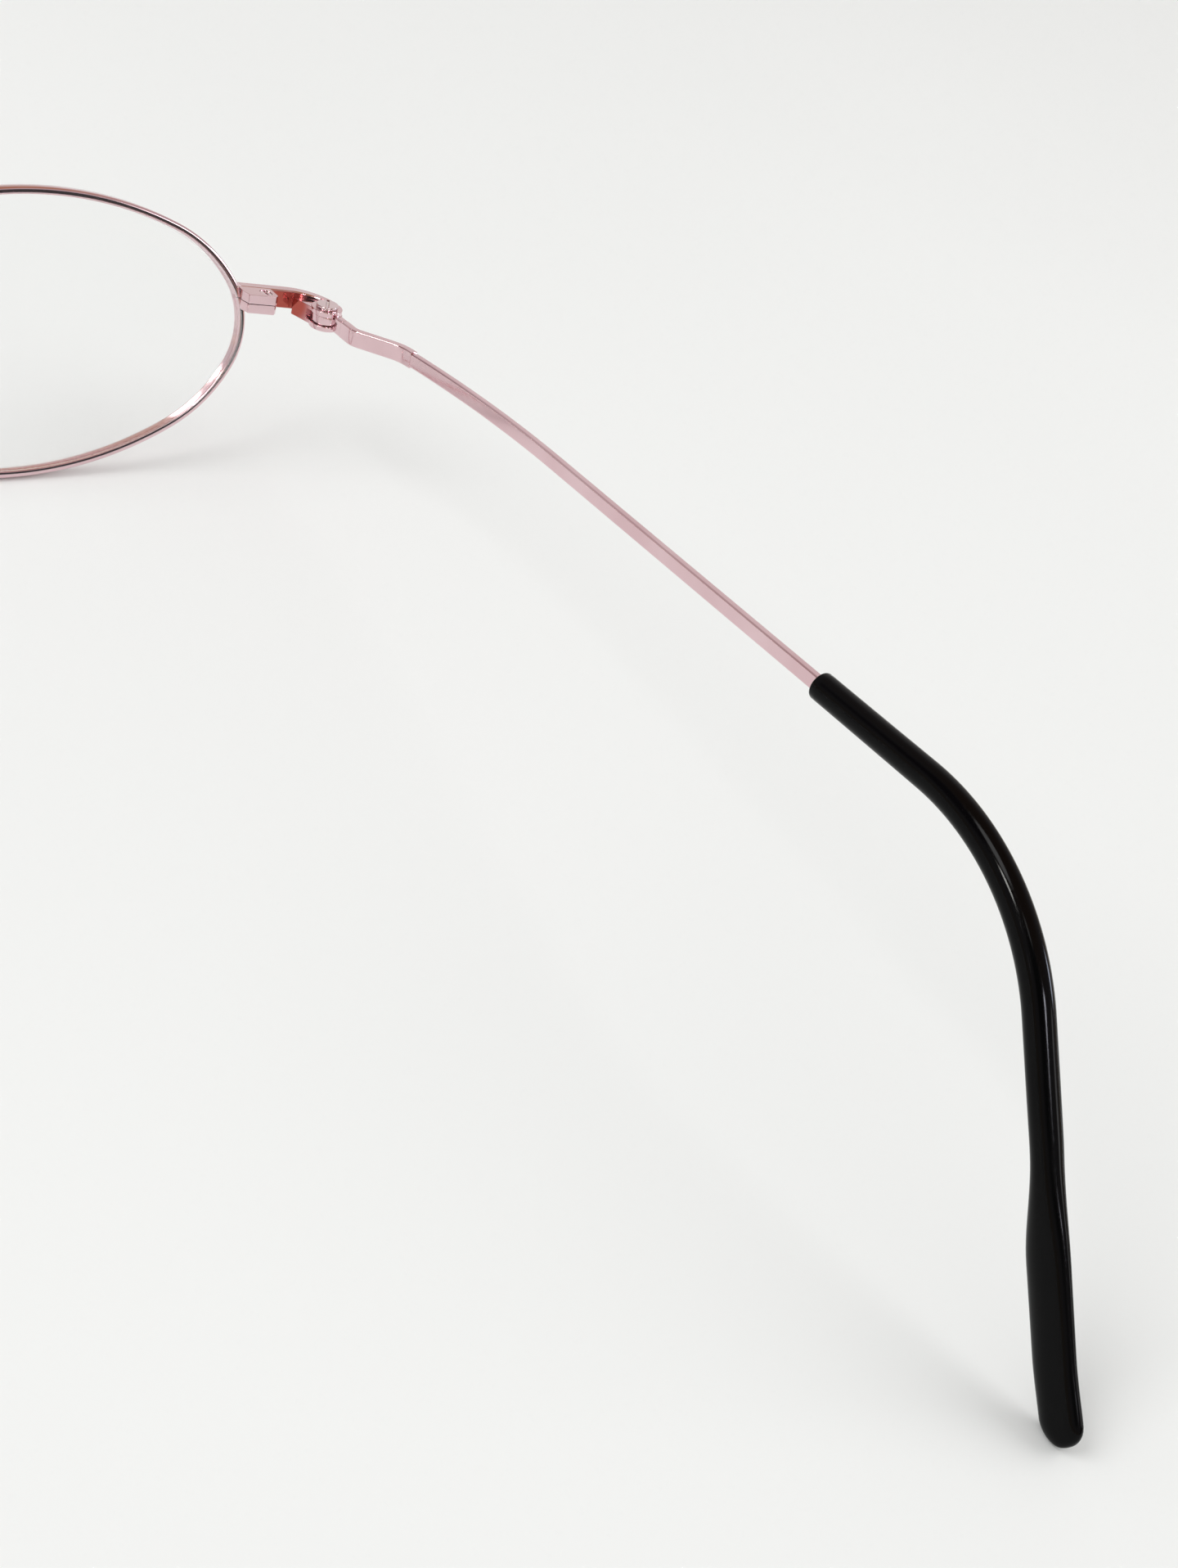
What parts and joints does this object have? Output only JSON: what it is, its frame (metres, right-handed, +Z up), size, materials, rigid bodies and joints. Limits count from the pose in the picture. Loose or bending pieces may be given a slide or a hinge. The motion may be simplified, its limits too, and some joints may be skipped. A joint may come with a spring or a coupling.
{
  "type": "oval eyeglasses",
  "caption": "Full-rim oval metal eyeglasses with folding temples, screw-closed rims, rocking nose pads and black ear tips.",
  "frame": {"origin": "middle of the table area under the standing glasses: midway between the sides and between front and back, at table height", "axes": "+X towards the wearer's left, +Y from the lenses back towards the ear tips, +Z up"},
  "size_m": [0.1394, 0.1367, 0.0323],
  "materials": {
    "metal": "polished rose-lilac plating",
    "screw": "polished",
    "lens": "clear, polished",
    "nose_pad": "clear silicone",
    "ear_tip": "glossy black"
  },
  "bodies": {
    "front": {"right_rim": "metal", "left_rim": "metal", "right_lens": "lens", "left_lens": "lens", "bridge": "metal", "right_pad_arm": "metal", "left_pad_arm": "metal", "right_pad_box": "metal", "left_pad_box": "metal", "right_pad_screw": "screw", "left_pad_screw": "screw", "right_block_upper": "metal", "left_block_upper": "metal", "right_block_lower": "metal", "left_block_lower": "metal", "right_closing_screw": "screw", "left_closing_screw": "screw", "right_end_piece": "metal", "left_end_piece": "metal", "right_front_hinge": "metal", "left_front_hinge": "metal", "right_hinge_screw": "screw", "left_hinge_screw": "screw"},
    "right_temple": {"right_temple_hinge": "metal", "right_temple_plate": "metal", "right_temple_bar": "metal", "right_temple_tip": "ear_tip"},
    "left_temple": {"left_temple_hinge": "metal", "left_temple_plate": "metal", "left_temple_bar": "metal", "left_temple_tip": "ear_tip"},
    "right_nose_pad": {"right_nose_pad": "nose_pad"},
    "left_nose_pad": {"left_nose_pad": "nose_pad"}
  },
  "joints": [
    {"name": "right_temple_fold", "type": "hinge", "parent": "front", "child": "right_temple", "pos_m": [-0.06463, -0.05873, 0.0155], "axis": [0, 0.1779, -0.9841], "range_deg": [0, 85]},
    {"name": "left_temple_fold", "type": "hinge", "parent": "front", "child": "left_temple", "pos_m": [0.06463, -0.05873, 0.0155], "axis": [0, -0.1779, 0.9841], "range_deg": [0, 88]},
    {"name": "right_pad_rock", "type": "hinge", "parent": "front", "child": "right_nose_pad", "pos_m": [-0.00859, -0.05596, 0.00908], "axis": [-0.3771, 0.8719, 0.3124], "range_deg": [-10, 10]},
    {"name": "left_pad_rock", "type": "hinge", "parent": "front", "child": "left_nose_pad", "pos_m": [0.00859, -0.05596, 0.00908], "axis": [0.3771, 0.8719, 0.3124], "range_deg": [-10, 10]}
  ]
}
